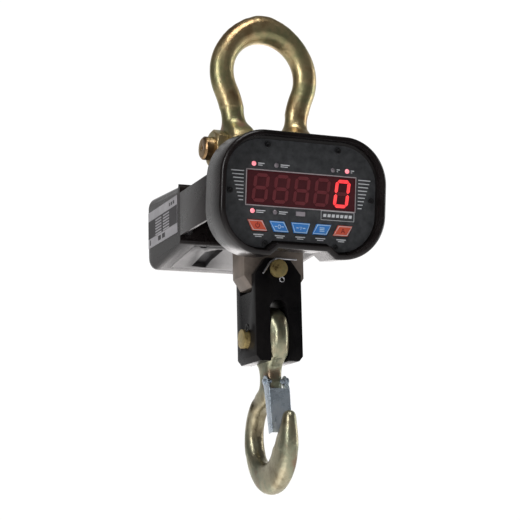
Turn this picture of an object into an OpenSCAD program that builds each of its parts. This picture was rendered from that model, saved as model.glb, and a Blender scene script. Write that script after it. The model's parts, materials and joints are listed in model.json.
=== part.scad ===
// Crane scale for lifting: a bow shackle, a measuring head on a load cell,
// a swivelling clevis and a safety hook. Millimetres, +Z up, display faces -Y.
// The origin is the seat inside the crown of the shackle bow.

/* [Shackle] */
// Diameter of the bow bar
bow_bar = 25; // [20:1:36]
// Inside width of the bow at its widest
bow_in = 69; // [50:1:90]
// Depth of the bolt axis below the bow seat
bolt_drop = 118.5; // [90:0.5:150]
// Outside diameter of the two bow eyes
ear_d = 58; // [44:1:70]
// Diameter of the shackle bolt
bolt_d = 24; // [18:1:30]
// Width across flats of the bolt head and nut
bolt_af = 36; // [27:1:46]

/* [Load cell] */
// Width of the load cell body and tongue, left to right
cell_w = 65; // [50:1:90]
// Thickness of the load cell body, front to back
cell_t = 36; // [30:1:40]
// Thickness of the lower tongue, front to back
tongue_t = 30.4; // [24:0.2:36]
// Thickness of the upper eye between the shackle ears
eye_t = 33.4; // [26:0.2:36]

/* [Head] */
// Width of the display head
head_w = 176; // [140:1:220]
// Height of the display head
head_h = 121; // [90:1:150]
// Depth of the display head
head_d = 40; // [30:1:60]
// Outer corner radius of the display head
head_r = 46; // [20:1:55]
// Backward lean of the display, degrees
head_tilt = 8; // [0:1:15]
// Wall thickness of the housing castings
wall = 3; // [2:0.5:5]
// Depth of the display panel behind the rim
hood = 11; // [4:1:20]
// Width of the digit window
win_w = 115.5; // [90:0.5:130]
// Height of the digit window
win_h = 33; // [24:0.5:45]
// Distance between neighbouring keys
key_pitch = 22.7; // [18:0.1:28]
// Height of one key
key_h = 10.4; // [8:0.1:16]
// Travel of a key
key_travel = 0.5; // [0.2:0.1:1.5]

/* [Rear box] */
// Width of the rear box and of the bridge in front of it
box_w = 160; // [130:1:200]
// Front face of the rear box behind the load line
box_y0 = 40; // [30:1:50]

/* [Clevis] */
// Side of the square clevis block
block = 50; // [40:1:60]
// Diameter of the pin through the tongue
upper_pin_d = 18; // [14:1:22]
// Diameter of the pin that carries the hook
lower_pin_d = 19; // [14:1:22]
// Width of the slot for the hook eye
hook_slot = 19; // [15:0.5:24]

/* [Hook] */
// Thickness of the hook eye and shank
hook_t = 17; // [12:0.5:18]
// Thickness of the hook bowl
bowl_t = 18.4; // [16:0.2:26]
// Outer radius of the hook bowl
bowl_r = 53; // [45:1:65]
// Radius of the hook's seat
seat_r = 29; // [22:1:34]
// Width of the sheet metal latch
latch_w = 19; // [17:0.5:24]

/* [Hidden] */
$fn = 64;
e = 0.1;
bolt_z = -bolt_drop;
bow_r = bow_in / 2 + bow_bar / 2;
bow_zc = bow_bar / 2 - bow_r;
bow_a = 24;
bow_rr = 95;
limb_x = bow_r * cos(bow_a) - bow_rr * (1 - cos(bow_a));
limb_z = bow_zc - bow_r * sin(bow_a) - bow_rr * sin(bow_a);
ear_x0 = 17.5;
ear_x1 = 47.5;
nut_t = 12;
bolt_end = 70;
eye_r = 21.5;
pin1_z = -244;
pin2_z = -312.5;
head_y = -86.6;
head_z = -178.3;
head_cz = -5;
rim = 5;
ledge = 8;
box_ends = [[box_y0 + 4, -205.8, 4], [box_y0 + 90, -202.3, 17.5], [box_y0 + 94.3, -154.5, 14],
  [box_y0 + 6, -152.8, 6]];
floor_run = [box_ends[1][0] - box_ends[0][0], box_ends[1][1] - box_ends[0][1]];
door_slope = asin((box_ends[1][2] - box_ends[0][2]) / norm(floor_run)) - atan2(floor_run[1], floor_run[0]);
floor_z = box_ends[0][1] - 4 * cos(door_slope) + (4 - 4 * sin(door_slope)) * tan(door_slope);
plate_low = -204.5;
plate_top = -154;
plate_x = 70;
plate_z = [-163.2, -197];
screw_x = 23;
screw_z = [-171, -200];
door_y = 6;
door_l = 76;
bridge_top = -156.5;
bridge_low = -201.5;
block_top = -233.5;
block_low = -336.5;
fork_floor = -266.5;
key_z = -36.4;
keyX = [-2, -1, 0, 1, 2];
key_top = [7.8, 7.8, 10.1, 7.8, 7.8];
key_bot = [7.8, 7.8, 7.0, 7.8, 7.8];
key_skew = [2.7, 2.6, 0, -2.3, -2.6];
cotter_turn = 42;
latch_y = -17;
latch_z = -355.5;
latch_lean = 6;
latch_len = 53;

// ---- shared shapes ----

module xrod(d, x0, x1) translate([x0, 0, 0]) rotate([0, 90, 0]) cylinder(d = d, h = x1 - x0);
module yrod(d, y0, y1) translate([0, y0, 0]) rotate([-90, 0, 0]) cylinder(d = d, h = y1 - y0);
module hexrod(af, x0, x1)
  translate([x0, 0, 0])
    rotate([0, 90, 0])
      cylinder(d = af / cos(30), h = x1 - x0, $fn = 6);

module round_rect(w, h, r) {
  square([w - 2 * r, h], center = true);
  square([w, h - 2 * r], center = true);
  for (sx = [-1, 1], sz = [-1, 1])
    translate([sx * (w / 2 - r), sz * (h / 2 - r)])
      circle(r = r);
}

// extrude an X-Z outline along the depth of the head, y0 front, y1 back
module deep(y0, y1)
  translate([0, y1, 0])
    rotate([90, 0, 0])
      linear_extrude(height = y1 - y0)
        children();

// place something given in the plane of the display
module on_head()
  translate([0, head_y, head_z])
    rotate([head_tilt, 0, 0])
      children();

module head_outline(in) {
  k = 0.36 * in;
  difference() {
    translate([0, head_cz])
      round_rect(head_w - 2 * in, head_h - 2 * in, head_r - in);
    translate([0, head_cz - head_h / 2 + in])
      polygon([[-36 - k, -5], [-35 - k, 0], [-26 - k, 7.5], [26 + k, 7.5], [35 + k, 0], [36 + k, -5]]);
  }
}

module key_outline(i, g)
  polygon([[-key_top[i] - key_skew[i] - g, key_h / 2 + g], [key_top[i] - key_skew[i] + g, key_h / 2 + g],
    [key_bot[i] + key_skew[i] + g, -key_h / 2 - g], [-key_bot[i] + key_skew[i] - g, -key_h / 2 - g]]);

module at_key(i) translate([keyX[i] * key_pitch, 0, key_z]) children();

// ---- shackle ----

// forged bow with two eyes; the bar is an arc, two reverse arcs and short legs
module shackle_bow()
  color("darkgoldenrod")
    difference() {
      union() {
        translate([0, 0, bow_zc])
          rotate([90, 0, 0])
            rotate([0, 0, -bow_a])
              rotate_extrude(angle = 180 + 2 * bow_a)
                translate([bow_r, 0])
                  circle(d = bow_bar);
        for (s = [0, 1])
          mirror([s, 0, 0]) {
            translate([limb_x + bow_rr, 0, limb_z])
              rotate([90, 0, 0])
                rotate([0, 0, 180 - bow_a])
                  rotate_extrude(angle = bow_a)
                    translate([bow_rr, 0])
                      circle(d = bow_bar);
            translate([limb_x, 0, bolt_z])
              cylinder(d = bow_bar, h = limb_z - bolt_z);
            translate([0, 0, bolt_z])
              xrod(ear_d, ear_x0, ear_x1);
          }
      }
      translate([0, 0, bolt_z])
        xrod(bolt_d + 0.6, -60, 60);
      for (s = [0, 1])
        mirror([s, 0, 0])
          translate([0, 0, bolt_z])
            xrod(ear_d - 2, ear_x0 - 20, ear_x0);
    }

// through bolt with a hexagon head on the right and a drilled end on the left
module shackle_bolt()
  color("goldenrod")
    translate([0, 0, bolt_z])
      difference() {
        union() {
          xrod(bolt_d, -bolt_end + 2, ear_x1 + 0.4);
          translate([-bolt_end, 0, 0])
            rotate([0, 90, 0])
              cylinder(d1 = bolt_d - 4, d2 = bolt_d, h = 2);
          intersection() {
            hexrod(bolt_af, ear_x1 + 0.4, ear_x1 + 15);
            translate([ear_x1 - 8, 0, 0])
              rotate([0, 90, 0])
                cylinder(d1 = bolt_af + 28, d2 = bolt_af - 2, h = 24);
          }
        }
        translate([-bolt_end - 1, 0, 0])
          xrod(5, 0, 4);
      }

module shackle_nut()
  color("goldenrod")
    translate([0, 0, bolt_z])
      difference() {
        intersection() {
          hexrod(bolt_af, -ear_x1 - 0.4 - nut_t, -ear_x1 - 0.4);
          translate([-ear_x1 - 0.4 - nut_t, 0, 0])
            rotate([0, 90, 0])
              cylinder(d1 = bolt_af - 1, d2 = bolt_af + 27, h = nut_t + 1);
        }
        xrod(bolt_d + 0.6, -80, 0);
      }

// ---- load cell ----

module load_cell()
  color("dimgray")
    difference() {
      union() {
        translate([0, 0, bolt_z])
          xrod(2 * eye_r, -eye_t / 2, eye_t / 2);
        translate([-eye_t / 2, -cell_t / 2, -160])
          cube([eye_t, cell_t, 160 + bolt_z]);
        translate([-cell_w / 2, -cell_t / 2, -214])
          cube([cell_w, cell_t, 58]);
        deep(-tongue_t / 2, tongue_t / 2)
          polygon([[-cell_w / 2, -210], [cell_w / 2, -210], [cell_w / 2, -250.5], [24.5, -262.2],
            [10, -263.6], [-10, -263.6], [-24.5, -262.2], [-cell_w / 2, -250.5]]);
      }
      translate([0, 0, bolt_z])
        xrod(bolt_d + 0.1, -30, 30);
      translate([0, 0, pin1_z])
        yrod(upper_pin_d + 0.1, -30, 30);
      for (s = [-1, 1])
        translate([0, s * cell_t / 2, -188])
          yrod(30, -9, 9);
      for (sx = [-1, 1], z = screw_z)
        translate([sx * screw_x, 0, z]) {
          yrod(5.2, -cell_t / 2 - e, -6);
          yrod(5.2, 6, cell_t / 2 + e);
        }
    }

// round lids that seal the two gauge pockets
module cell_covers()
  color("silver")
    for (s = [-1, 1])
      translate([0, s * (cell_t / 2 - 2), -188])
        yrod(29.4, -1.2, 1.2);

// stand-off bracket between the load cell and the back of the head
module cell_bracket()
  color("gray")
    difference() {
      union() {
        translate([-31, -cell_t / 2 - 3.2, -211])
          cube([62, 3, 47]);
        for (s = [-1, 1])
          translate([s * 29.5 - 1.5, -70, -211])
            cube([3, 70 - cell_t / 2 - 0.2, 44]);
        on_head()
          translate([-34, head_d - hood - 1, -30])
            cube([68, 4.2, 40]);
      }
      on_head()
        translate([-50, head_d - hood - 50, -80])
          cube([100, 50.2, 140]);
      translate([0, 0, -188])
        yrod(32, -70, -10);
      for (sx = [-1, 1], z = screw_z)
        translate([sx * screw_x, 0, z])
          yrod(5.6, -24, -16);
    }

// flat spacer between the load cell and the rear box
module cell_spacer()
  color("gray")
    difference() {
      translate([-31, cell_t / 2 + 0.1, -211])
        cube([62, box_y0 - cell_t / 2 - 0.2, 46]);
      translate([0, 0, -188])
        yrod(32, 10, 50);
      for (sx = [-1, 1], z = screw_z)
        translate([sx * screw_x, 0, z])
          yrod(5.6, 10, 50);
    }

// socket head screw, seat at the origin and shank along +Y
module cap_screw(l)
  difference() {
    union() {
      yrod(5, -1, l);
      yrod(8.5, -4.6, 0);
    }
    translate([0, -4.8, 0])
      rotate([-90, 0, 0])
        cylinder(d = 4.6, h = 2.6, $fn = 6);
  }

module bracket_screws()
  color("silver")
    for (sx = [-1, 1], z = screw_z) {
      translate([sx * screw_x, -cell_t / 2 - 3.2, z])
        cap_screw(14);
      translate([sx * screw_x, box_y0 + wall - 0.1, z])
        mirror([0, 1, 0])
          cap_screw(box_y0 + wall - 7.1);
    }

// ---- display head ----

module head_shell()
  color([0.1, 0.1, 0.11])
    difference() {
      on_head()
        difference() {
          deep(-hood, head_d - hood)
            head_outline(0);
          deep(-hood - 1, 0.6)
            head_outline(rim);
          deep(0.5, 3.5)
            head_outline(ledge - 0.3);
          difference() {
            deep(3.4, 6.4)
              head_outline(ledge + 4);
            for (p = screw_spots())
              translate([p[0], 0, p[1]])
                yrod(9, 0, 10);
          }
          difference() {
            deep(6.3, head_d - hood - wall)
              head_outline(wall + 1);
            for (p = screw_spots())
              translate([p[0], 0, p[1]])
                yrod(9, 5, head_d - hood);
          }
          for (p = screw_spots())
            translate([p[0], 0, p[1]])
              yrod(2.7, 0, 14);
        }
      translate([0, -62, -188])
        yrod(10, -6, 10);
    }

function screw_spots() = [[-37.6, 42], [37.6, 42], [-75, -4.7], [75, -4.7], [-37.5, -53.1], [37.5, -53.1]];

// thin rubber seal under the display panel
module panel_gasket()
  color([0.05, 0.05, 0.05])
    on_head()
      difference() {
        deep(2.7, 3.4)
          head_outline(ledge);
        deep(2, 4)
          head_outline(ledge + 4.5);
        for (p = screw_spots())
          translate([p[0], 0, p[1]])
            yrod(3.2, 2, 4);
      }

module display_panel()
  color([0.2, 0.21, 0.22])
    on_head()
      difference() {
        deep(0, 2.6)
          head_outline(ledge);
        deep(-1, 4)
          square([win_w + 0.4, win_h + 0.4], center = true);
        for (i = [0:4])
          at_key(i)
            deep(-1, 4)
              key_outline(i, 0.35);
        for (p = lamp_spots())
          translate([p[0], 0, p[1]])
            yrod(4.7, -1, 4);
        translate([-0.4, 0, -22.6])
          deep(-1, 4)
            square([10.1, 4.6], center = true);
        for (p = screw_spots())
          translate([p[0], 0, p[1]])
            yrod(3.4, -1, 4);
      }

module led_window()
  color([0.35, 0.08, 0.1])
    on_head()
      deep(-0.3, 2.2)
        square([win_w, win_h], center = true);

module digit_modules()
  color([0.6, 0.15, 0.15])
    on_head()
      for (i = [-2:2])
        translate([i * 21.6, 0, 0])
          deep(2.6, 11)
            square([20.6, 31], center = true);

function lamp_spots() = [[-51, 22.8], [-27.4, 22.8], [33, 22.8], [48.3, 22.8], [-51, -22.7], [-27.4, -22.7]];

module indicator_lamps()
  color([0.8, 0.2, 0.25])
    on_head()
      for (p = lamp_spots())
        translate([p[0], 0, p[1]]) {
          yrod(4.3, -0.3, 11);
          yrod(3, 10, 12.4);
        }

module sensor_window()
  color("gray")
    on_head()
      translate([-0.4, 0, -22.6])
        deep(-0.2, 2)
          square([9.7, 4.2], center = true);

module display_board()
  color("darkgreen")
    on_head() {
      deep(12.6, 14.2)
        translate([0, -4.5])
          square([128, 83], center = true);
      for (sx = [-1, 1], z = [-40, 32])
        translate([sx * 56, 0, z])
          yrod(6, 14.2, head_d - hood - wall - 0.2);
    }

module panel_screws()
  color("black")
    on_head()
      for (p = screw_spots())
        translate([p[0], 0, p[1]])
          difference() {
            union() {
              yrod(2.5, -0.4, 9);
              yrod(5.6, -2, -0.2);
            }
            translate([0, -2.2, 0])
              rotate([-90, 0, 0])
                cylinder(d = 2.9, h = 1.3, $fn = 6);
          }

// one membrane key: a raised pad and a narrower foot behind the panel
module key_pad(i, c)
  color(c)
    on_head()
      at_key(i)
        deep(-0.8, 3.4)
          key_outline(i, 0);

module key_power() key_pad(0, [0.85, 0.3, 0.22]);
module key_zero() key_pad(1, [0.25, 0.55, 0.88]);
module key_tare() key_pad(2, [0.25, 0.55, 0.88]);
module key_hold() key_pad(3, [0.25, 0.55, 0.88]);
module key_total() key_pad(4, [0.85, 0.3, 0.22]);

// ---- bridge and rear box ----

// inverted channel over the load cell, open below
module bridge_cover()
  color([0.12, 0.12, 0.13])
    difference() {
      union() {
        translate([-box_w / 2, -60, bridge_low])
          cube([wall, box_y0 + 59.8, bridge_top - bridge_low]);
        translate([box_w / 2 - wall, -60, bridge_low])
          cube([wall, box_y0 + 59.8, bridge_top - bridge_low]);
        translate([-box_w / 2 + e, -60, bridge_top - wall])
          cube([box_w - 2 * e, box_y0 + 59.8, wall]);
      }
      translate([-eye_t / 2 - 1, -cell_t / 2 - 1, -180])
        cube([eye_t + 2, cell_t + 2, 30]);
      translate([-cell_w / 2 - 0.5, -cell_t / 2 - 0.5, -215])
        cube([cell_w + 1, cell_t + 1, 60]);
      on_head()
        translate([-100, head_d - hood - 20, -100])
          cube([200, 20.2, 200]);
    }

// side outline of the rear box in depth and height, four rounded corners; inset by t
module box_side(t) {
  polygon([for (i = [0:3], j = [0, 1])
    let (a = box_ends[i], b = box_ends[(i + 1) % 4], d = [b[0] - a[0], b[1] - a[1]],
      g = atan2(d[1], d[0]) - asin((b[2] - a[2]) / norm(d)) - 90, p = j == 0 ? a : b)
    [p[0] + (p[2] - t) * cos(g), p[1] + (p[2] - t) * sin(g)]]);
  for (p = box_ends)
    translate([p[0], p[1]])
      circle(r = p[2] - t);
}

module box_solid(t)
  translate([-box_w / 2 + t, 0, 0])
    rotate([90, 0, 90])
      linear_extrude(height = box_w - 2 * t)
        box_side(t);

// cast box, open at the front where the plate closes it
module rear_box()
  color([0.12, 0.12, 0.13])
    difference() {
      union() {
        difference() {
          box_solid(0);
          box_solid(wall);
          translate([-box_w / 2 + 5, box_y0 - 1, plate_low])
            cube([box_w - 10, 2 + wall, plate_top - plate_low]);
          door_shape(0.4);
        }
        for (s = [-1, 1], z = plate_z)
          translate([s * plate_x, 0, z])
            yrod(8.4, box_y0 + wall, box_y0 + 16);
        for (s = [-1, 1], z = plate_z)
          translate([s * (plate_x + 5) - 3, box_y0 + wall, z - 2])
            cube([6, 13, 4]);
        door_lugs();
      }
      for (s = [-1, 1], z = plate_z)
        translate([s * plate_x, 0, z])
          yrod(3.2, box_y0, box_y0 + 14);
      on_floor(0, door_y)
        translate([0, 2.6, 2])
          xrod(2.2, -60, 60);
    }

module box_front_plate()
  color([0.08, 0.08, 0.08])
    difference() {
      translate([-box_w / 2 + 5.2, box_y0, plate_low + 0.2])
        cube([box_w - 10.4, wall - 0.1, plate_top - plate_low - 0.4]);
      for (s = [-1, 1], z = plate_z)
        translate([s * plate_x, 0, z])
          yrod(4.4, 30, 50);
      for (sx = [-1, 1], z = screw_z)
        translate([sx * screw_x, 0, z])
          yrod(5.6, 30, 50);
      translate([0, 0, -188])
        yrod(12, 30, 50);
    }

module plate_screws()
  color("silver")
    for (s = [-1, 1], z = plate_z)
      translate([s * plate_x, box_y0, z])
        difference() {
          union() {
            yrod(3, -0.2, 12);
            yrod(6.6, -2.6, -0.1);
          }
          translate([0, -2.8, 0])
            rotate([-90, 0, 0])
              cylinder(d = 3.4, h = 1.5, $fn = 6);
        }

module main_board()
  color("darkgreen")
    translate([-60, box_y0 + wall + 6, -199]) {
      cube([120, 1.6, 40]);
      translate([16, 1.6, 8])
        cube([22, 9, 16]);
      translate([60, 1.6, 12])
        cube([18, 4, 18]);
      for (x = [6, 114], z = [6, 34])
        translate([x, -5.9, z])
          rotate([-90, 0, 0])
            cylinder(d = 6, h = 5.9);
    }

module battery_pack()
  color([0.25, 0.25, 0.27])
    translate([-52, 70, -197]) {
      cube([104, 56, 38]);
      translate([34, -6, 8])
        cube([36, 6, 16]);
    }

// door in the underside of the rear box, in the plane of the sloping floor
module on_floor(x, y)
  translate([x, box_y0 + y, floor_z - y * tan(door_slope)])
    rotate([-door_slope, 0, 0])
      children();

module door_shape(g)
  on_floor(0, door_y)
    translate([-62 - g, -g, -2])
      cube([124 + 2 * g, door_l + 2 * g, 8]);

// hinge lugs of the box, let into notches of the door
lug_x = [-51, 51];
module door_lugs()
  on_floor(0, door_y)
    for (x = lug_x)
      translate([x - 3, 0, 0]) {
        translate([0, -2.4, 0])
          cube([6, 5, 4.5]);
        translate([0, 2.6, 2])
          xrod(5, 0, 6);
      }

module battery_door()
  color([0.1, 0.1, 0.1])
    on_floor(0, door_y)
      difference() {
        union() {
          translate([-62, 2.6, 0])
            cube([124, door_l - 2.6, 2.8]);
          translate([0, 2.6, 2])
            xrod(4, -62, 62);
          finger_pocket(1.6, 7);
        }
        translate([0, 0, -1])
          finger_pocket(0, 7);
        for (x = lug_x)
          translate([x - 3.4, -4, -2])
            cube([6.8, 9.5, 10]);
        translate([0, 2.6, 2])
          xrod(2.1, -70, 70);
      }

// tapered finger pocket moulded into the door, grown by g
module finger_pocket(g, h)
  linear_extrude(height = h + g)
    polygon([[-44 - g, 18 - g], [-33 - g, 7.5 - g], [-27 + g, 7.5 - g], [-27 + g, 46], [-24 + g, 70 + g],
      [-41 - g, 67 + g], [-42 - g, 46]]);

module door_hinge_pin()
  color("silver")
    on_floor(0, door_y)
      translate([0, 2.6, 2])
        xrod(2, -58, 58);

module rating_label()
  color([0.75, 0.76, 0.78])
    translate([-box_w / 2 - 0.4, box_y0 + 7.5, -196.5])
      cube([0.38, 92.5, 39.4]);

// ---- clevis ----

module clevis_block()
  color([0.1, 0.1, 0.1])
    difference() {
      intersection() {
        translate([-block / 2, -block / 2, block_low])
          cube([block, block, block_top - block_low]);
        deep(-30, 30)
          polygon([[-25, block_low + 5], [-21, block_low], [21, block_low], [25, block_low + 5],
            [25, block_top - 16], [13, block_top], [-13, block_top], [-25, block_top - 16]]);
      }
      translate([-40, -tongue_t / 2 - 0.4, fork_floor])
        cube([80, tongue_t + 0.8, 60]);
      translate([-hook_slot / 2, -40, block_low - 1])
        cube([hook_slot, 80, pin2_z + 28 - block_low + 1]);
      translate([0, 0, pin2_z + 28])
        yrod(hook_slot, -40, 40);
      translate([0, 0, pin1_z])
        yrod(upper_pin_d + 0.6, -40, 40);
      translate([0, 0, pin2_z])
        xrod(lower_pin_d + 0.6, -40, 40);
    }

module upper_pin()
  color("goldenrod")
    translate([0, 0, pin1_z])
      difference() {
        union() {
          yrod(upper_pin_d, -29, 29.2);
          yrod(upper_pin_d + 6, 25.2, 29.2);
        }
        translate([0, -27, 0])
          rotate([0, -16, 0])
            cylinder(d = 3, h = 40, center = true);
      }

// straight piece of wire in the X-Z plane with a round end
module wire(p, q, d)
  translate([p[0], 0, p[1]]) {
    rotate([0, atan2(q[0] - p[0], q[1] - p[1]), 0])
      cylinder(d = d, h = norm(q - p));
    sphere(d = d);
  }

// split pin: eye below the clevis pin, legs bent apart above it
module upper_cotter()
  color("silver")
    translate([0, -27, pin1_z]) {
      rotate([0, -16, 0]) {
        translate([0, 0, -9.4])
          cylinder(d = 2.6, h = 19);
        translate([0, 0, -11.4])
          rotate([90, 0, 0])
            rotate_extrude()
              translate([2.4, 0])
                circle(d = 1.2);
      }
      wire([-9.2, 5.9], [-3.4, 10.1], 1.9);
      wire([-17, -5.3], [-9.2, 5.9], 1.9);
      wire([19, 9.8], [-2.6, 10.2], 1.9);
    }

module lower_pin()
  color("goldenrod")
    translate([0, 0, pin2_z])
      difference() {
        union() {
          xrod(lower_pin_d, -31, 29.2);
          xrod(lower_pin_d + 6, 25.2, 29.2);
        }
        translate([-28, 0, 0])
          rotate([cotter_turn, 0, 0])
            cylinder(d = 3.2, h = 40, center = true);
      }

module lower_cotter()
  color([0.15, 0.15, 0.15])
    translate([-28, 0, pin2_z])
      rotate([cotter_turn, 0, 0]) {
        translate([0, 0, -13])
          cylinder(d = 2.6, h = 25);
        translate([0, 0, 14])
          rotate([0, 90, 0])
            rotate_extrude()
              translate([2.9, 0])
                circle(d = 1.9);
      }

// ---- hook ----

// bowl and shank outline, [front to back, height]
module hook_outline()
  difference() {
    union() {
      translate([0, pin2_z])
        circle(r = 31);
      polygon([[-12.5, pin2_z], [12.5, pin2_z], [12.5, -356], [16, -364], [26, -371], [38, -378],
        [30, -400], [-10, -376], [-12.5, -366]]);
      difference() {
        translate([2, -412.5])
          circle(r = bowl_r);
        translate([-60, -394])
          square([66, 60]);
      }
      translate([-43.8, -394])
        circle(r = 7.5);
    }
    translate([9, -408])
      circle(r = seat_r);
    polygon([[-13.2, -426.5], [-36.8, -396], [-37.2, -390], [-30, -380], [-12.6, -367], [-8, -372],
      [9, -379.2],
      [9, -408]]);
  }

module hook_plate(t)
  translate([-t / 2, 0, 0])
    rotate([90, 0, 90])
      linear_extrude(height = t)
        hook_outline();

module hook()
  color("darkkhaki")
    difference() {
      union() {
        hook_plate(hook_t);
        intersection() {
          hook_plate(bowl_t);
          translate([0, 2, -412.5])
            rotate([0, 90, 0])
              rotate_extrude() {
                translate([0, -bowl_t / 2])
                  square([46, bowl_t]);
                translate([0, -3])
                  square([bowl_r + 1, 6]);
                for (s = [-1, 1])
                  translate([46, s * 3])
                    circle(r = 7);
              }
        }
      }
      translate([0, 0, pin2_z])
        xrod(lower_pin_d + 0.1, -20, 20);
      translate([0, latch_y + 6.4, latch_z])
        xrod(5.1, -20, 20);
    }

module latch_pin()
  color("silver")
    translate([0, latch_y + 6.4, latch_z]) {
      xrod(5, -13, 12.6);
      xrod(8, 12.4, 14);
    }

// coil spring around the latch pin, with one arm on the latch
module latch_spring()
  color("gray")
    translate([0, latch_y + 6.4, latch_z])
      for (s = [-1, 1])
        difference() {
          xrod(7.6, s * 9 - 0.35, s * 9 + 0.35);
          xrod(5.4, -20, 20);
        }

// channel of bent sheet: front plate, two flanges and two eyes
module latch()
  color("lightsteelblue")
    translate([0, latch_y + 6.4, latch_z])
      rotate([-latch_lean, 0, 0])
        difference() {
          union() {
            translate([-latch_w / 2 - 1.6, -10.4, -latch_len])
              cube([latch_w + 3.2, 1.6, latch_len - 9]);
            for (s = [0, 1])
              mirror([s, 0, 0])
                translate([latch_w / 2, 0, 0]) {
                  xrod(11.6, 0, 1.6);
                  rotate([90, 0, 90])
                    linear_extrude(height = 1.6)
                      polygon([[-10.4, -latch_len], [-1.5, -latch_len], [3, -8], [5.7, 1], [-5.7, 1],
                        [-10.4, -9]]);
                }
          }
          xrod(5.2, -20, 20);
        }

shackle_bow();
shackle_bolt();
shackle_nut();
load_cell();
cell_covers();
cell_bracket();
cell_spacer();
bracket_screws();
head_shell();
panel_gasket();
display_panel();
led_window();
digit_modules();
indicator_lamps();
sensor_window();
display_board();
panel_screws();
key_power();
key_zero();
key_tare();
key_hold();
key_total();
bridge_cover();
rear_box();
box_front_plate();
plate_screws();
main_board();
battery_pack();
battery_door();
door_hinge_pin();
rating_label();
clevis_block();
upper_pin();
upper_cotter();
lower_pin();
lower_cotter();
hook();
latch_pin();
latch_spring();
latch();
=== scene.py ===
import bpy
import json
import math
from mathutils import Matrix, Vector

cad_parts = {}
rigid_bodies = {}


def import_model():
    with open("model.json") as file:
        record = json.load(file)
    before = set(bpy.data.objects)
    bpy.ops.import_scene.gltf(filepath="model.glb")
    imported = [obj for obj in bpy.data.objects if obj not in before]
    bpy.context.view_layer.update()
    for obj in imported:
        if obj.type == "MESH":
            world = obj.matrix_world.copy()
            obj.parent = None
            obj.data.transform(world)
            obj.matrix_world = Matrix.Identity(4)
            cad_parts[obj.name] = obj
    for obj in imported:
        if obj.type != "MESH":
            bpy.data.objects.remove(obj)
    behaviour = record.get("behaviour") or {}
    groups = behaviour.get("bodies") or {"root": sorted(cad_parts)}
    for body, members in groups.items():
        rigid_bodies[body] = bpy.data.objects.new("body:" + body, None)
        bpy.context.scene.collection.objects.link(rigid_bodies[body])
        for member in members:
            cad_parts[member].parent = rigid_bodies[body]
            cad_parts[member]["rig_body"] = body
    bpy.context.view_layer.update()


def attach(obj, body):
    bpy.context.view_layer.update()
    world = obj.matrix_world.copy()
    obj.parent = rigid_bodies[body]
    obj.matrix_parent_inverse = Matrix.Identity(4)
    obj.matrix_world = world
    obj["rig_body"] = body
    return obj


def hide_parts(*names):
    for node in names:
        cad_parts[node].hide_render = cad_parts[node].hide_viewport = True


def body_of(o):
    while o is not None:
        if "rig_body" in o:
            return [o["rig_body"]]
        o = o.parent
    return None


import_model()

# ---- Shackle bow ----
# Drop forged bow of round bar, thicker in the crown, with two bored eyes.
# Yellow zinc plate over a forged skin: gold and olive with copper, pink and green tints.


def only(ob):
    bpy.ops.object.select_all(action="DESELECT")
    ob.select_set(True)
    bpy.context.view_layer.objects.active = ob


def named(name):
    ob = bpy.context.view_layer.objects.active
    ob.name = name
    ob.data.name = name
    return ob


def settle(ob):
    only(ob)
    bpy.ops.object.transform_apply(location=True, rotation=True, scale=True)


def modify(ob, kind, **settings):
    only(ob)
    m = ob.modifiers.new(kind.lower(), kind)
    for key, value in settings.items():
        setattr(m, key, value)
    bpy.ops.object.modifier_apply(modifier=m.name)


def pick(ob, test, of="VERT"):
    only(ob)
    bpy.ops.object.mode_set(mode="EDIT")
    bpy.ops.mesh.select_mode(type=of)
    bpy.ops.mesh.select_all(action="DESELECT")
    bpy.ops.object.mode_set(mode="OBJECT")
    me = ob.data
    if of == "VERT":
        for v in me.vertices:
            v.select = test(v.co)
    elif of == "EDGE":
        for g in me.edges:
            g.select = test(me.vertices[g.vertices[0]].co, me.vertices[g.vertices[1]].co)
    else:
        for p in me.polygons:
            p.select = test(p.center, p.normal)
    bpy.ops.object.mode_set(mode="EDIT")


def done():
    bpy.ops.object.mode_set(mode="OBJECT")


def join(first, *others):
    bpy.ops.object.select_all(action="DESELECT")
    for ob in (first,) + others:
        ob.select_set(True)
    bpy.context.view_layer.objects.active = first
    bpy.ops.object.join()
    return first


def cut(ob, tool, how="DIFFERENCE"):
    modify(ob, "BOOLEAN", object=tool, operation=how, solver="EXACT")
    bpy.data.objects.remove(tool)


def rod(name, radius, a, b, sides=48):
    a = Vector(a)
    b = Vector(b)
    turn = (b - a).to_track_quat("Z", "Y").to_euler()
    bpy.ops.object.select_all(action="DESELECT")
    bpy.ops.mesh.primitive_cylinder_add(vertices=sides, radius=radius, depth=(b - a).length,
                                        location=(a + b) / 2, rotation=turn)
    ob = named(name)
    settle(ob)
    return ob


def smooth(ob, angle=35):
    only(ob)
    bpy.ops.object.shade_smooth_by_angle(angle=math.radians(angle))


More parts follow.
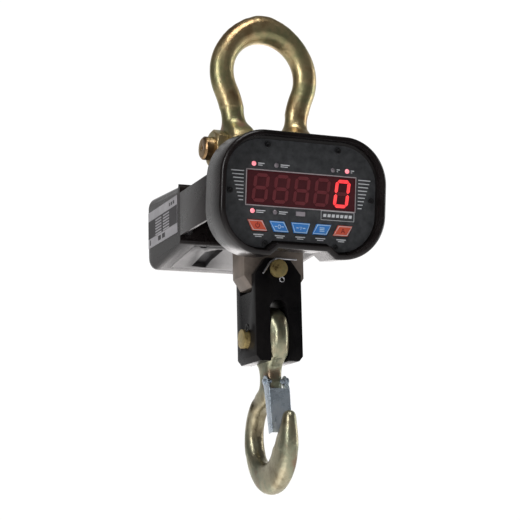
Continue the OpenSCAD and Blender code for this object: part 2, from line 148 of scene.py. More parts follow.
def finish(name, shades, grain, rough, metallic=0.0, bump=0.0, bump_grain=900,
           wear=None, coat=0.0, spec=0.5, glow=None):
    """Patchy colour over the piece, uneven roughness, a fine bump and specks of wear."""
    m = bpy.data.materials.new(name)
    m.use_nodes = True
    n = m.node_tree.nodes
    k = m.node_tree.links.new
    b = n["Principled BSDF"]
    b.inputs["Metallic"].default_value = metallic
    b.inputs["Coat Weight"].default_value = coat
    b.inputs["Coat Roughness"].default_value = 0.18
    b.inputs["Specular IOR Level"].default_value = spec
    at = n.new("ShaderNodeTexCoord")
    patch = n.new("ShaderNodeTexNoise")
    patch.inputs["Scale"].default_value = grain
    patch.inputs["Detail"].default_value = 5
    patch.inputs["Roughness"].default_value = 0.62
    k(at.outputs["Object"], patch.inputs["Vector"])
    ramp = n.new("ShaderNodeValToRGB")
    stops = ramp.color_ramp.elements
    while len(stops) < len(shades):
        stops.new(0.5)
    for i, shade in enumerate(shades):
        stops[i].position = 0.32 + 0.36 * i / max(1, len(shades) - 1)
        stops[i].color = (*shade, 1)
    k(patch.outputs["Fac"], ramp.inputs["Fac"])
    colour = ramp.outputs["Color"]
    fine = n.new("ShaderNodeTexNoise")
    fine.inputs["Scale"].default_value = bump_grain
    fine.inputs["Detail"].default_value = 4
    k(at.outputs["Object"], fine.inputs["Vector"])
    if wear:
        speck = n.new("ShaderNodeTexNoise")
        speck.inputs["Scale"].default_value = grain * 6
        speck.inputs["Detail"].default_value = 8
        speck.inputs["Roughness"].default_value = 0.75
        k(at.outputs["Object"], speck.inputs["Vector"])
        edge = n.new("ShaderNodeMapRange")
        edge.inputs["From Min"].default_value = 0.62
        edge.inputs["From Max"].default_value = 0.74
        edge.inputs["To Max"].default_value = 0.55
        k(speck.outputs["Fac"], edge.inputs["Value"])
        mix = n.new("ShaderNodeMix")
        mix.data_type = "RGBA"
        mix.inputs["B"].default_value = (*wear, 1)
        k(edge.outputs["Result"], mix.inputs["Factor"])
        k(colour, mix.inputs["A"])
        colour = mix.outputs["Result"]
    k(colour, b.inputs["Base Color"])
    if glow:
        b.inputs["Emission Strength"].default_value = glow
        k(colour, b.inputs["Emission Color"])
    haze = n.new("ShaderNodeMapRange")
    haze.inputs["From Min"].default_value = 0.3
    haze.inputs["From Max"].default_value = 0.7
    haze.inputs["To Min"].default_value = rough[0]
    haze.inputs["To Max"].default_value = rough[1]
    k(patch.outputs["Fac"], haze.inputs["Value"])
    k(haze.outputs["Result"], b.inputs["Roughness"])
    if bump:
        dent = n.new("ShaderNodeBump")
        dent.inputs["Strength"].default_value = bump
        dent.inputs["Distance"].default_value = 0.0004
        k(fine.outputs["Fac"], dent.inputs["Height"])
        k(dent.outputs["Normal"], b.inputs["Normal"])
    return m


def dress(ob, material):
    if isinstance(ob, str):
        ob = bpy.data.objects[ob]
    ob.data.materials.clear()
    ob.data.materials.append(material)


yellow_zinc = finish("yellow zinc plate",
                     [(0.17, 0.085, 0.045), (0.38, 0.25, 0.125), (0.54, 0.43, 0.23), (0.32, 0.31, 0.16),
                      (0.47, 0.27, 0.20)],
                     17, (0.27, 0.42), metallic=0.92, bump=0.7, bump_grain=300, wear=(0.09, 0.045,
                         0.02), spec=0.3)
bow_bar = 0.0125
limb = 0.0347
bolt_z = -0.1185
turn = math.radians(24)
limb_top = -0.0345 - (0.047 + 0.095) * math.sin(turn)
bpy.ops.object.select_all(action="DESELECT")
bpy.ops.mesh.primitive_circle_add(vertices=40, radius=bow_bar, location=(limb, 0, bolt_z + 0.004),
                                  fill_type="NGON")
bow = named("shackle_bow_forging")
settle(bow)
only(bow)
bpy.ops.object.mode_set(mode="EDIT")
bpy.ops.mesh.select_all(action="SELECT")
bpy.ops.mesh.extrude_region_move(TRANSFORM_OT_translate={"value": (0, 0, limb_top - bolt_z - 0.004)})
bpy.ops.mesh.spin(steps=10, angle=-turn, center=(limb + 0.095, 0, limb_top), axis=(0, 1, 0))
bpy.ops.mesh.spin(steps=56, angle=math.pi + 2 * turn, center=(0, 0, -0.0345), axis=(0, 1, 0))
bpy.ops.mesh.spin(steps=10, angle=-turn, center=(-limb - 0.095, 0, limb_top), axis=(0, 1, 0))
bpy.ops.mesh.extrude_region_move(TRANSFORM_OT_translate={"value": (0, 0, bolt_z + 0.004 - limb_top)})
bpy.ops.mesh.select_all(action="SELECT")
bpy.ops.mesh.normals_make_consistent(inside=False)
done()
# the crown is forged thicker than the limbs: its outer side is drawn up
for step in range(7):
    pick(bow, lambda p: p.z > -0.0345 and math.hypot(p.x, p.z + 0.0345) > 0.0475
         and abs(p.x) < 0.046 - 0.006 * step)
    bpy.ops.transform.translate(value=(0, 0, 0.0008))
    done()
for s in (-1, 1):
    eye = rod("eye", 0.029, (s * 0.0176, 0, bolt_z), (s * 0.0474, 0, bolt_z), 72)
    modify(eye, "BEVEL", width=0.004, segments=4, limit_method="ANGLE")
    join(bow, eye)
modify(bow, "REMESH", mode="VOXEL", voxel_size=0.0011)
modify(bow, "SMOOTH", factor=0.7, iterations=14)
pick(bow, lambda p: -0.110 < p.z < -0.074)
bpy.ops.mesh.vertices_smooth(factor=0.8, repeat=70)
done()
for s in (-1, 1):
    bore = rod("bore", 0.0123, (s * 0.010, 0, bolt_z), (s * 0.060, 0, bolt_z))
    cut(bow, bore)
smooth(bow, 40)
dress(bow, yellow_zinc)
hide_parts("shackle_bow")
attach(bow, "shackle")

# ---- Shackle bolt and nut ----
# Through bolt with a hexagon head on the right and a thick nut on the left.
# Turned and rolled steel, zinc plated with the bow; the corners are chamfered and worn.


def softened(node, width, segments=3):
    """A copy of a plain node with its arrises broken, standing for the node."""
    source = bpy.data.objects[node]
    ob = bpy.data.objects.new(node + "_finished", source.data.copy())
    bpy.context.scene.collection.objects.link(ob)
    only(ob)
    bpy.ops.object.mode_set(mode="EDIT")
    bpy.ops.mesh.select_all(action="SELECT")
    bpy.ops.mesh.remove_doubles(threshold=0.00001)
    bpy.ops.mesh.dissolve_limited(angle_limit=math.radians(0.5))
    bpy.ops.mesh.select_all(action="SELECT")
    bpy.ops.mesh.normals_make_consistent(inside=False)
    done()
    if width:
        modify(ob, "BEVEL", width=width, segments=segments, limit_method="ANGLE",
               angle_limit=math.radians(30), use_clamp_overlap=True)
    smooth(ob, 35)
    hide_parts(node)
    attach(ob, body_of(source)[0])
    return ob


bolt = softened("shackle_bolt", 0.0006)
dress(bolt, yellow_zinc)
nut = softened("shackle_nut", 0.0007)
dress(nut, yellow_zinc)

# ---- Load cell ----
# Milled alloy steel body with an eye on top and a tongue below, carrying strain gauges in two pockets.
# Ground faces with a warm grey oil film; round lids seal the pockets.
cell_steel = finish("ground cell steel", [(0.10, 0.082, 0.068), (0.20, 0.165, 0.14), (0.28, 0.235,
    0.20)],
                    22, (0.38, 0.55), metallic=0.35, bump=0.25, bump_grain=700, wear=(0.32, 0.27, 0.23))
cell = softened("load_cell", 0.0016, segments=3)
dress(cell, cell_steel)
bare_alu = finish("bare aluminium", [(0.50, 0.50, 0.51), (0.68, 0.68, 0.70)], 30, (0.32, 0.48),
                  metallic=1.0,
                  bump=0.2, bump_grain=1200)
for node in ("cell_covers", "cell_bracket", "cell_spacer"):
    dress(softened(node, 0.0004), bare_alu)
screw_steel = finish("plated screw steel", [(0.42, 0.42, 0.44), (0.66, 0.66, 0.69)], 160, (0.22, 0.38),
                     metallic=1.0,
                     bump=0.15, bump_grain=2500)
for node in ("bracket_screws", "plate_screws", "door_hinge_pin", "latch_spring"):
    dress(node, screw_steel)

# ---- Display head shell ----
# Die cast aluminium frame round the display, closed at the back, black baked enamel.
# The front rim is rolled over; the notch below clears the clevis.
enamel = finish("black baked enamel", [(0.004, 0.003, 0.003), (0.008, 0.006, 0.006), (0.014, 0.0105,
    0.0105)],
                18, (0.20, 0.31), bump=0.2, bump_grain=1500, wear=(0.024, 0.022, 0.022), spec=0.3)
lean = math.radians(8)
head_seat = Vector((0, -0.0866, -0.1783))


def on_head(x, y, z):
    """A point given in the plane of the display: right, back and up from the window's centre."""
    return head_seat + Vector((x, y * math.cos(lean) - z * math.sin(lean),
                               y * math.sin(lean) + z * math.cos(lean)))


def head_place(p):
    q = p - head_seat
    return Vector((q.x, q.y * math.cos(lean) + q.z * math.sin(lean),
                   q.z * math.cos(lean) - q.y * math.sin(lean)))


def from_outline(p):
    """How far a point lies inside the head's round cornered outline."""
    x = abs(p.x) - 0.088 + 0.046
    z = abs(p.z + 0.005) - 0.0605 + 0.046
    return -(math.hypot(max(x, 0), max(z, 0)) + min(max(x, z), 0) - 0.046)


def outer_rim(p):
    q = head_place(p)
    if abs(q.x) < 0.0355 and q.z < -0.055:
        return q.y < -0.0109
    return q.y < -0.0109 and from_outline(q) < 0.003


source = bpy.data.objects["head_shell"]
shell = bpy.data.objects.new("head_shell_casting", source.data.copy())
bpy.context.scene.collection.objects.link(shell)
only(shell)
bpy.ops.object.mode_set(mode="EDIT")
bpy.ops.mesh.select_all(action="SELECT")
bpy.ops.mesh.remove_doubles(threshold=0.00001)
bpy.ops.mesh.dissolve_limited(angle_limit=math.radians(0.5))
bpy.ops.mesh.select_all(action="SELECT")
bpy.ops.mesh.normals_make_consistent(inside=False)
done()
pick(shell, lambda a, b: outer_rim(a) and outer_rim(b), of="EDGE")
bpy.ops.mesh.bevel(offset=0.0042, segments=5, affect="EDGES", clamp_overlap=True)
done()
modify(shell, "BEVEL", width=0.0009, segments=2, limit_method="ANGLE", angle_limit=math.radians(40))
smooth(shell, 32)
dress(shell, enamel)
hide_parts("head_shell")
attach(shell, "scale_head")
rubber = finish("black seal rubber", [(0.015, 0.015, 0.015), (0.03, 0.03, 0.03)], 60, (0.6, 0.8),
                bump=0.3)
dress("panel_gasket", rubber)

# ---- Display panel ----
# Pressed sheet with a printed, finely grained charcoal film; all print is pale grey ink.
# Ladders of short bars flank the window and small dashes caption the lamps and keys.
film = finish("grained charcoal film", [(0.026, 0.028, 0.031), (0.042, 0.044, 0.048), (0.058, 0.061,
    0.065)],
              150, (0.42, 0.58), bump=0.6, bump_grain=1300, wear=(0.10, 0.105, 0.11), spec=0.4)
dress("display_panel", film)
pale_ink = finish("pale grey ink", [(0.58, 0.60, 0.63), (0.74, 0.76, 0.79)], 220, (0.5, 0.65), bump=0.2)


def flat_on_head(name, corners, low, high):
    """A thin prism on the display, corners given right and up, low and high given back from the panel."""
    bpy.ops.object.select_all(action="DESELECT")
    bpy.ops.mesh.primitive_circle_add(vertices=len(corners), radius=0.001, fill_type="NGON")
    ob = named(name)
    for v, c in zip(ob.data.vertices, corners):
        v.co = on_head(c[0], high, c[1])
    only(ob)
    bpy.ops.object.mode_set(mode="EDIT")
    bpy.ops.mesh.select_all(action="SELECT")
    bpy.ops.mesh.extrude_region_move(TRANSFORM_OT_translate={"value": on_head(0, low, 0) - on_head(0,
        high, 0)})
    bpy.ops.mesh.select_all(action="SELECT")
    bpy.ops.mesh.normals_make_consistent(inside=False)
    done()
    return ob


def bar(name, x0, x1, z, tall, low=-0.00006, high=0.0002, slant=0.0):
    h = tall / 2
    return flat_on_head(name, [(x0 - slant * h, z - h), (x1 - slant * h, z - h), (x1 + slant * h, z + h),
                               (x0 + slant * h, z + h)], low, high)


print_marks = []
for i in range(9):
    z = 0.015 - 0.0035 * i
    size = 0.0132 - 0.0011 * i
    print_marks.append(bar("tick", -0.0610 - size, -0.0610, z, 0.0009))
    print_marks.append(bar("tick", 0.0610, 0.0610 + size, z, 0.0009))
for x0, x1, z in ((-0.0465, -0.0400, 0.0228), (-0.0230, -0.0135, 0.0228), (0.0370, 0.0405, 0.0228),
                  (0.0525, 0.0560, 0.0228),
                  (-0.0470, -0.0375, -0.0227), (-0.0232, -0.0140, -0.0227)):
    print_marks.append(bar("lamp_caption", x0, x1, z + 0.0007, 0.0009))
    print_marks.append(bar("lamp_caption", x0, x1 - 0.002, z - 0.0011, 0.0008))
for i in range(5):
    x = (i - 2) * 0.0227 + (0.0014, 0.0012, 0, -0.0012, -0.0014)[i]
    print_marks.append(bar("key_caption", x - 0.0052, x + 0.0052, -0.0452, 0.0010))
    print_marks.append(bar("key_caption", x - 0.0034, x + 0.0034, -0.0470, 0.0008))
for z in (-0.0178, -0.0266):
    print_marks.append(bar("range_frame", 0.0214, 0.0575, z, 0.0004))
for x in (0.0216, 0.0573):
    print_marks.append(bar("range_frame", x - 0.0002, x + 0.0002, -0.0222, 0.0086))
for i in range(7):
    print_marks.append(bar("range_print", 0.0240 + 0.0046 * i, 0.0272 + 0.0046 * i, -0.0222, 0.0030,
                           slant=0.15))
prints = join(*print_marks)
prints.name = "panel_print"
dress(prints, pale_ink)
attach(prints, "scale_head")

# ---- Digit window ----
# Dark red tinted acrylic over five seven-segment digits, with a pale printed border.
# Only the last digit is lit, as a nought; the unlit segments show faintly through the tint.
tint = finish("dark red acrylic", [(0.060, 0.012, 0.016), (0.078, 0.016, 0.020)], 30, (0.14, 0.22),
              bump=0.05, coat=0.5)
dress("led_window", tint)
unlit = finish("unlit segment", [(0.125, 0.020, 0.026), (0.155, 0.026, 0.032)], 80, (0.3, 0.4),
               bump=0.05)
lit = finish("lit segment", [(0.92, 0.035, 0.045), (1.0, 0.07, 0.07)], 60, (0.3, 0.4), bump=0.05,
             glow=0.9)
border = [bar("window_border", -0.0586, 0.0586, 0.0172, 0.0009), bar("window_border", -0.0586, 0.0586,
                                                                     -0.0172, 0.0009)]
for x in (-0.0582, 0.0582):
    border.append(bar("window_border", x - 0.0005, x + 0.0005, 0, 0.0353))
border = join(*border)
border.name = "window_border"
rose_ink = finish("rose grey ink", [(0.40, 0.34, 0.36), (0.52, 0.45, 0.47)], 200, (0.5, 0.6), bump=0.1)
dress(border, rose_ink)
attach(border, "scale_head")
digit_w = 0.0162
digit_h = 0.0278
stroke = 0.0033


def segment(name, cx, part):
    """One six sided segment of a leaning digit centred at cx; parts a to g run clockwise from the top."""
    w = digit_w / 2 - stroke / 2
    h = digit_h / 2 - stroke / 2
    g = 0.0004
    ends = {"a": ((-w, h), (w, h)), "b": ((w, h), (w, 0)), "c": ((w, 0), (w, -h)), "d": ((w, -h), (-w,
        -h)),
            "e": ((-w, -h), (-w, 0)), "f": ((-w, 0), (-w, h)), "g": ((-w, 0), (w, 0))}[part]
    p = Vector(ends[0])
    q = Vector(ends[1])
    u = (q - p).normalized()
    v = Vector((-u.y, u.x)) * stroke / 2
    p += u * g
    q -= u * g
    c = u * stroke / 2
    six = [p, p + c - v, q - c - v, q, q - c + v, p + c + v]
    return flat_on_head(name, [(cx + t.x + t.y * 0.11, t.y) for t in six], -0.00042, -0.0002)


dark = [segment("unlit", (i - 2) * 0.0216, part) for i in range(4) for part in "abcdefg"]
dark.append(segment("unlit", 0.0432, "g"))
dark = join(*dark)
dark.name = "unlit_segments"
dress(dark, unlit)
bright = join(*[segment("lit", 0.0432, part) for part in "abcdef"])
bright.name = "lit_nought"
dress(bright, lit)
for ob in (dark, bright):
    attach(ob, "scale_head")
dress("digit_modules", unlit)

# ---- Indicator lamps ----
# Moulded lamp lenses behind round holes in the film, three lit and three dark, each with a low dome.
lamp_on = finish("lit lamp lens", [(0.95, 0.20, 0.26), (1.0, 0.36, 0.40)], 500, (0.2, 0.3), bump=0.1,
                 glow=0.8)
lamp_off = finish("dark lamp lens", [(0.17, 0.15, 0.17), (0.25, 0.22, 0.24)], 500, (0.2, 0.35), bump=0.1)
dress("indicator_lamps", lamp_off)
for i, (x, z, on) in enumerate(((-0.051, 0.0228, 1), (-0.0274, 0.0228, 0), (0.033, 0.0228, 0), (0.0483,
    0.0228, 1),
                                (-0.051, -0.0227, 1), (-0.0274, -0.0227, 0))):
    bpy.ops.object.select_all(action="DESELECT")
    bpy.ops.mesh.primitive_uv_sphere_add(segments=24, ring_count=12, radius=0.00235, location=on_head(x,
        -0.0002, z))
    lens = named("lamp_lens_%d" % i)
    settle(lens)
    pick(lens, lambda p: head_place(p).y > 0.0003)
    bpy.ops.mesh.delete(type="VERT")
    bpy.ops.mesh.select_all(action="SELECT")
    bpy.ops.transform.resize(value=(1, 0.45, 1), center_override=on_head(x, -0.0002, z))
    done()
    smooth(lens, 60)
    dress(lens, lamp_on if on else lamp_off)
    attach(lens, "scale_head")
sensor = finish("smoked sensor window", [(0.28, 0.25, 0.28), (0.36, 0.33, 0.36)], 90, (0.2, 0.3),
                bump=0.05)
dress("sensor_window", sensor)
board = finish("circuit board lacquer", [(0.012, 0.06, 0.03), (0.02, 0.10, 0.05)], 120, (0.3, 0.5),
               bump=0.3)
dress("display_board", board)
black_screw = finish("blackened screw steel", [(0.012, 0.012, 0.013), (0.035, 0.035, 0.037)], 300,
                     (0.25, 0.4),
                     metallic=0.6, bump=0.2, bump_grain=2500)
dress(softened("panel_screws", 0.00025, segments=2), black_screw)

# ---- Keys ----
# Five printed membrane keys with soft raised pads: red at the ends, blue between.
# Each has a pale outline and a plain sign: power, zero, tare, hold and total.
key_red = finish("red key film", [(0.60, 0.085, 0.045), (0.70, 0.115, 0.06)], 70, (0.38, 0.5),
                 bump=0.25, bump_grain=2200)
key_blue = finish("blue key film", [(0.035, 0.20, 0.60), (0.055, 0.26, 0.70)], 70, (0.38, 0.5),
                  bump=0.25, bump_grain=2200)
key_ink = finish("key outline ink", [(0.62, 0.50, 0.50), (0.74, 0.64, 0.64)], 200, (0.5, 0.6), bump=0.1)
blue_ink = finish("pale blue ink", [(0.42, 0.66, 0.88), (0.55, 0.76, 0.94)], 200, (0.5, 0.6), bump=0.1)
dark_ink = finish("dark red ink", [(0.20, 0.015, 0.012), (0.28, 0.02, 0.016)], 200, (0.5, 0.6), bump=0.1)
key_nodes = ("key_power", "key_zero", "key_tare", "key_hold", "key_total")
key_skew = (0.0027, 0.0026, 0, -0.0023, -0.0026)
key_top = (0.0078, 0.0078, 0.0101, 0.0078, 0.0078)
key_foot = (0.0078, 0.0078, 0.0070, 0.0078, 0.0078)
for i, node in enumerate(key_nodes):
    pad = softened(node, 0.0005, segments=3)
    dress(pad, key_red if i in (0, 4) else key_blue)
    cx = (i - 2) * 0.0227
    cz = -0.0364
    a, b, k, h = key_top[i], key_foot[i], key_skew[i], 0.0052

    def ring(t):
        return [(cx - a - k + t, cz + h - t), (cx + a - k - t, cz + h - t), (cx + b + k - t, cz - h + t),
                (cx - b + k + t, cz - h + t)]

    outer = ring(0.0006)
    inner = ring(0.0012)
    strips = [flat_on_head("edge", [outer[j], outer[(j + 1) % 4], inner[(j + 1) % 4], inner[j]],
                           -0.00088, -0.0007)
              for j in range(4)]
    sign = []
    if i == 0:
        for j in range(10):
            t0 = math.radians(125 + 29 * j)
            t1 = math.radians(125 + 29 * (j + 1))
            sign.append(flat_on_head("arc", [(cx + r * math.cos(t), cz + r * math.sin(t))
                                             for r, t in ((0.0017, t0), (0.0025, t0), (0.0025, t1),
                                                          (0.0017, t1))],
                                     -0.00088, -0.0007))
        sign.append(bar("stem", cx - 0.0004, cx + 0.0004, cz + 0.0019, 0.0030, -0.00088, -0.0007))
    elif i == 4:
        for x in (-0.0016, 0.0016):
            sign.append(flat_on_head("leg", [(cx + x * 1.2 - 0.0004, cz - 0.0022),
                                             (cx + x * 1.2 + 0.0004, cz - 0.0022),
                                             (cx + 0.0004, cz + 0.0024), (cx - 0.0004,
                                                 cz + 0.0024)], -0.00088, -0.0007))
        sign.append(bar("cross", cx - 0.0010, cx + 0.0010, cz - 0.0006, 0.0007, -0.00088, -0.0007))
    elif i == 3:
        for z in (-0.0016, 0, 0.0016):
            sign.append(bar("line", cx - 0.0026, cx + 0.0026, cz + z, 0.0008, -0.00088, -0.0007))
    else:
        sign.append(bar("line", cx - 0.0048, cx - 0.0022, cz, 0.0008, -0.00088, -0.0007))
        sign.append(bar("line", cx + 0.0022, cx + 0.0048, cz, 0.0008, -0.00088, -0.0007))
        for j in range(8 if i == 1 else 3):
            t0 = math.radians(45 * j if i == 1 else 30 + 120 * j)
            t1 = t0 + math.radians(45 if i == 1 else 120)
            sign.append(flat_on_head("ring", [(cx + r * 0.8 * math.cos(t), cz + r * math.sin(t))
                                              for r, t in ((0.0014, t0), (0.0021, t0), (0.0021, t1),
                                                           (0.0014, t1))],
                                     -0.00088, -0.0007))
    rim_line = join(*strips)
    rim_line.name = node + "_outline"
    dress(rim_line, key_ink if i in (0, 4) else blue_ink)
    mark = join(*sign)
    mark.name = node + "_sign"
    dress(mark, dark_ink if i in (0, 4) else blue_ink)
    for ob in (rim_line, mark):
        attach(ob, node)

# ---- Bridge cover ----
# Folded and cast channel that ties the head to the rear box over the load cell, open below.
# Same black enamel; its lower edge shows bright where it is rounded.
bridge = softened("bridge_cover", 0.0009)
dress(bridge, enamel)

# ---- Rear box ----
# Die cast box behind the load cell for the battery and the main board, with large rounded edges.
# A plate closes its front and a door in its sloping floor reaches the battery.
half = 0.080


def box_block(name, inset):
    bpy.ops.object.select_all(action="DESELECT")
    bpy.ops.mesh.primitive_cube_add(size=2, location=(0, 0, 0))
    ob = named(name)
    place = {(-1, -1): (0.0400 + inset, -0.20933 + inset), (1, -1): (0.1477 - inset, -0.2220 + inset),
             (1, 1): (0.1484 - inset, -0.1394 - inset), (-1, 1): (0.0400 + inset, -0.1464 - inset)}
    for v in ob.data.vertices:
        y, z = place[(round(v.co.y), round(v.co.z))]
        v.co = Vector((v.co.x * (half - inset), y, z))
    return ob


def along_x(a, b, back, up):
    return (abs(a.x - b.x) > 0.05 and (a.y > 0.09) == back and (a.z > -0.18) == up)


def rounded(ob, t):
    """Rolls the long edges, then the outline of both ends; t is taken off every radius."""
    for back, up, size in ((True, False, 0.0165), (True, True, 0.0135), (False, True, 0.0055), (False,
        False, 0.0038)):
        pick(ob, lambda a, b: along_x(a, b, back, up), of="EDGE")
        bpy.ops.mesh.bevel(offset=size - t, segments=8, affect="EDGES", clamp_overlap=False)
        done()
    pick(ob, lambda a, b: abs(a.x - b.x) < 0.0001 and abs(a.x) > 0.07 and (a.y + b.y) / 2 > 0.0445,
         of="EDGE")
    bpy.ops.mesh.bevel(offset=0.0095 - t, segments=7, affect="EDGES", clamp_overlap=False)
    done()


box = box_block("rear_box_casting", 0)
rounded(box, 0)
hollow = box_block("hollow", 0.003)
rounded(hollow, 0.003)
cut(box, hollow)
bpy.ops.object.select_all(action="DESELECT")
bpy.ops.mesh.primitive_cube_add(size=1, location=(0, 0.038, -0.17925), scale=(0.150, 0.014, 0.0505))
mouth = named("mouth")
settle(mouth)
cut(box, mouth)
slope = math.atan2(0.0127, 0.1077)
bpy.ops.object.select_all(action="DESELECT")
bpy.ops.mesh.primitive_cube_add(size=1, location=(0, 0.0836, -0.2145), rotation=(-slope, 0, 0),
                                scale=(0.1248, 0.0768, 0.016))
hatch = named("hatch")
settle(hatch)
cut(box, hatch)
smooth(box, 32)
dress(box, enamel)
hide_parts("rear_box")
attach(box, "scale_head")
plate = softened("box_front_plate", 0.0006)
dress(plate, enamel)
dress("main_board", board)
pack_plastic = finish("battery sleeve", [(0.02, 0.02, 0.022), (0.035, 0.035, 0.038)], 40, (0.5, 0.7),
                      bump=0.3)
dress("battery_pack", pack_plastic)
door_plastic = finish("black moulded door", [(0.006, 0.0055, 0.006), (0.013, 0.012, 0.0125)], 24, (0.32,
    0.45),
                      bump=0.3, bump_grain=1800, wear=(0.05, 0.048, 0.048), spec=0.6)
door = softened("battery_door", 0.0004, segments=2)
dress(door, door_plastic)

# ---- Rating label ----
# Printed foil glued to the left end of the box: silver bands above and below a dark band.
# Two columns of short bars stand for the table; no wording is printed.
foil = finish("silver label foil", [(0.34, 0.33, 0.35), (0.46, 0.45, 0.47)], 60, (0.38, 0.5),
              metallic=0.3, bump=0.15,
              bump_grain=1800, wear=(0.25, 0.24, 0.26))
dress("rating_label", foil)
label_dark = finish("dark label ink", [(0.024, 0.022, 0.024), (0.04, 0.037, 0.04)], 60, (0.4, 0.55),
                    bump=0.1)
label_x = -half - 0.00044


def on_label(name, y0, y1, z0, z1):
    bpy.ops.object.select_all(action="DESELECT")
    bpy.ops.mesh.primitive_cube_add(size=1, location=(label_x, (y0 + y1) / 2, (z0 + z1) / 2),
                                    scale=(0.00012, y1 - y0, z1 - z0))
    ob = named(name)
    settle(ob)
    return ob


band = [on_label("band", 0.0478, 0.1398, -0.1865, -0.1670)]
for y0, y1 in ((0.0560, 0.0600), (0.0625, 0.0665), (0.0690, 0.0720)):
    band.append(on_label("stamp", y0, y1, -0.1640, -0.1605))
for y0, y1 in ((0.0860, 0.0950), (0.0990, 0.1080)):
    band.append(on_label("stamp", y0, y1, -0.1935, -0.1885))
band.append(on_label("stamp", 0.1320, 0.1350, -0.1940, -0.1880))
band = join(*band)
band.name = "label_band"
dress(band, label_dark)
label_x -= 0.00010
rows = []
for i in range(6):
    z = -0.1690 - 0.0031 * i
    rows.append(on_label("row", 0.0720, 0.0915, z - 0.0016, z))
    rows.append(on_label("row", 0.0965, 0.1160, z - 0.0016, z))
rows = join(*rows)
rows.name = "label_rows"
dress(rows, foil)
for ob in (band, rows):
    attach(ob, "scale_head")

# ---- Clevis block ----
# Milled steel block, forked above for the load cell's tongue and slotted below for the hook.
# Satin black chemical finish, edges broken and slightly rubbed.
blacking = finish("black steel finish", [(0.004, 0.004, 0.0045), (0.007, 0.0065, 0.007), (0.012, 0.011,
    0.011)],
                  26, (0.22, 0.36), bump=0.2, bump_grain=900, wear=(0.016, 0.014, 0.013), spec=0.08)
block = softened("clevis_block", 0.0018, segments=4)
dress(block, blacking)
upper_pin = softened("upper_pin", 0.0008)
lower_pin = softened("lower_pin", 0.0008)
pin_zinc = finish("yellow zinc on turned pins", [(0.16, 0.11, 0.04), (0.42, 0.32, 0.13), (0.29, 0.25,
    0.11)],
                  110, (0.25, 0.40), metallic=0.5, bump=0.8, bump_grain=500, wear=(0.10, 0.06, 0.03))
for pin in (upper_pin, lower_pin):
    dress(pin, pin_zinc)
dress("upper_cotter", screw_steel)
black_wire = finish("black spring wire", [(0.02, 0.02, 0.02), (0.05, 0.05, 0.05)], 300, (0.3, 0.45),
                    metallic=0.7, bump=0.15)
dress("lower_cotter", black_wire)

# ---- Hook ----
# Forged eye hook, scaled skin left under a dull khaki zinc, the tip drawn in and all edges rounded.
khaki = finish("khaki zinc on forging",
               [(0.15, 0.12, 0.075), (0.29, 0.25, 0.16), (0.45, 0.41, 0.28), (0.32, 0.33, 0.23), (0.30,
                   0.22, 0.15)],
               24, (0.26, 0.42), metallic=0.9, bump=0.9, bump_grain=300, wear=(0.08, 0.06,
                   0.035), spec=0.3)
source = bpy.data.objects["hook"]
hook = bpy.data.objects.new("hook_forging", source.data.copy())
bpy.context.scene.collection.objects.link(hook)
only(hook)
bpy.ops.object.mode_set(mode="EDIT")
bpy.ops.mesh.select_all(action="SELECT")
bpy.ops.mesh.remove_doubles(threshold=0.00001)
bpy.ops.mesh.normals_make_consistent(inside=False)
done()
pin_axis = Vector((0, 0, -0.3125))
latch_axis = Vector((0, -0.0106, -0.3555))
for where, r in ((pin_axis, 0.0100), (latch_axis, 0.0030)):
    plug = rod("plug", r, where + Vector((-0.0084, 0, 0)), where + Vector((0.0084, 0, 0)), 32)
    join(hook, plug)
modify(hook, "REMESH", mode="VOXEL", voxel_size=0.0009)
only(hook)
bpy.ops.object.mode_set(mode="EDIT")
bpy.ops.mesh.select_all(action="SELECT")
bpy.ops.transform.shrink_fatten(value=0.0006)
done()
modify(hook, "SMOOTH", factor=1.0, iterations=55)
# the tip is drawn narrower towards its end
for step in range(9):
    pick(hook, lambda p: p.y < -0.026 and p.z > -0.4300 + 0.0042 * step)
    bpy.ops.transform.resize(value=(0.962, 1, 1), center_override=(0, 0, -0.41))
    done()
pick(hook, lambda p: p.z < -0.366)
bpy.ops.mesh.vertices_smooth(factor=0.9, repeat=90)
done()
pick(hook, lambda p: p.z < -0.420 or p.z > -0.334 or p.y > 0.029 or p.y < -0.026)
bpy.ops.transform.shrink_fatten(value=0.0016)
done()
for top in (-0.345, -0.425):
    pick(hook, lambda p: p.z < top)
    bpy.ops.transform.resize(value=(0.93, 1, 1), center_override=(0, 0, -0.41))
    done()
modify(hook, "SMOOTH", factor=0.8, iterations=34)
for where, r in ((pin_axis, 0.00955), (latch_axis, 0.00255)):
    bore = rod("bore", r, where + Vector((-0.02, 0, 0)), where + Vector((0.02, 0, 0)))
    cut(hook, bore)
smooth(hook, 50)
dress(hook, khaki)
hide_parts("hook")
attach(hook, "hook")

# ---- Safety latch ----
# Bent sheet steel channel, bright bluish zinc with fine rolling marks, on a riveted pin with a coil spring.
blue_zinc = finish("bright blue zinc", [(0.34, 0.41, 0.48), (0.50, 0.57, 0.64), (0.62, 0.67, 0.72)], 60,
                   (0.22, 0.36),
                   metallic=0.55, bump=0.3, bump_grain=1400, wear=(0.26, 0.29, 0.32))
latch = softened("latch", 0.0007)
dress(latch, blue_zinc)
rivet = softened("latch_pin", 0.0004)
dress(rivet, blue_zinc)

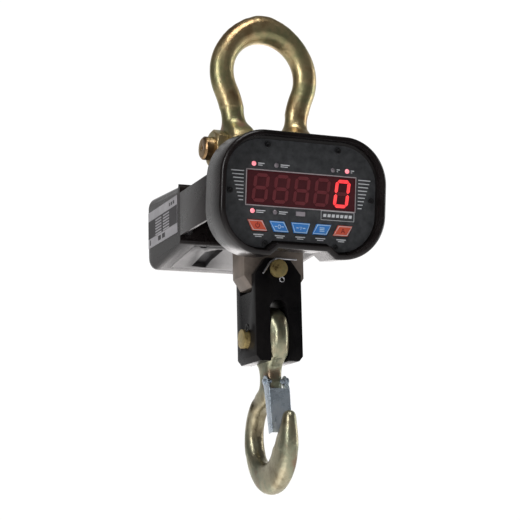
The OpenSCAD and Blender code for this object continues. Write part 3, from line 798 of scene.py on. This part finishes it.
# ---- Studio ----
# Pale floor well below, a white surround that is darker in front, soft boxes left, below and right.
bpy.ops.object.select_all(action="DESELECT")
bpy.ops.mesh.primitive_plane_add(size=14, location=(0, 0, -1.25))
floor = named("studio_floor")
floor_paint = finish("pale studio floor", [(0.80, 0.79, 0.785), (0.84, 0.83, 0.825)], 2, (0.7, 0.9),
                     glow=0.6)
dress(floor, floor_paint)
world = bpy.data.worlds.new("studio surround")
bpy.context.scene.world = world
world.use_nodes = True
n = world.node_tree.nodes
k = world.node_tree.links.new
n.clear()
direction = n.new("ShaderNodeTexCoord")
toward = n.new("ShaderNodeVectorMath")
toward.operation = "DOT_PRODUCT"
toward.inputs[1].default_value = (0.5, 0.8, -0.4)
k(direction.outputs["Generated"], toward.inputs[0])
behind = n.new("ShaderNodeMapRange")
behind.inputs["From Min"].default_value = 0.22
behind.inputs["From Max"].default_value = 1.0
behind.inputs["To Min"].default_value = 0.06
behind.inputs["To Max"].default_value = 1.7
k(toward.outputs["Value"], behind.inputs["Value"])
surround = n.new("ShaderNodeBackground")
k(behind.outputs["Result"], surround.inputs["Strength"])
white = n.new("ShaderNodeBackground")
white.inputs["Strength"].default_value = 1.3
seen = n.new("ShaderNodeLightPath")
blend = n.new("ShaderNodeMixShader")
k(seen.outputs["Is Camera Ray"], blend.inputs["Fac"])
k(surround.outputs["Background"], blend.inputs[1])
k(white.outputs["Background"], blend.inputs[2])
out = n.new("ShaderNodeOutputWorld")
k(blend.outputs["Shader"], out.inputs["Surface"])


def soft_box(name, place, target, size, power, tint=(1, 1, 1)):
    data = bpy.data.lights.new(name, "AREA")
    data.shape = "RECTANGLE"
    data.size = size[0]
    data.size_y = size[1]
    data.energy = power
    data.color = tint
    lamp = bpy.data.objects.new(name, data)
    bpy.context.scene.collection.objects.link(lamp)
    lamp.location = place
    lamp.rotation_euler = (Vector(target) - Vector(place)).to_track_quat("-Z", "Y").to_euler()
    lamp.visible_camera = False


middle = (0, 0, -0.2)
soft_box("left_box", (-1.6, -0.75, 0.25), middle, (0.35, 1.3), 15)
soft_box("low_box", (-0.5, 0.1, -1.15), middle, (1.2, 1.0), 4, (1.0, 0.96, 0.95))
soft_box("rear_box", (0.75, 1.65, -0.56), middle, (1.1, 0.7), 4.5, (1.0, 0.95, 0.94))
soft_box("top_box", (-0.2, -0.7, 1.3), middle, (0.8, 0.6), 13)
soft_box("right_box", (1.7, -0.15, 0.0), middle, (0.25, 1.3), 7)

# ---- Camera ----
# Long lens, low and to the left of the scale, looking up at it.
camera_data = bpy.data.cameras.new("camera")
camera_data.lens = 101.84
camera_data.sensor_width = 36
camera_data.clip_end = 30
camera = bpy.data.objects.new("camera", camera_data)
bpy.context.scene.collection.objects.link(camera)
right = Vector((0.92161, -0.38752, -0.02175))
up = Vector((-0.0549, -0.18563, 0.98109))
ahead = Vector((0.38422, 0.90298, 0.19235))
turn = Matrix((right, up, -ahead)).transposed()
camera.matrix_world = Matrix.Translation((-0.58244, -1.34842, -0.51807)) @ turn.to_4x4()
bpy.context.scene.camera = camera
bpy.context.scene.view_settings.view_transform = "Standard"
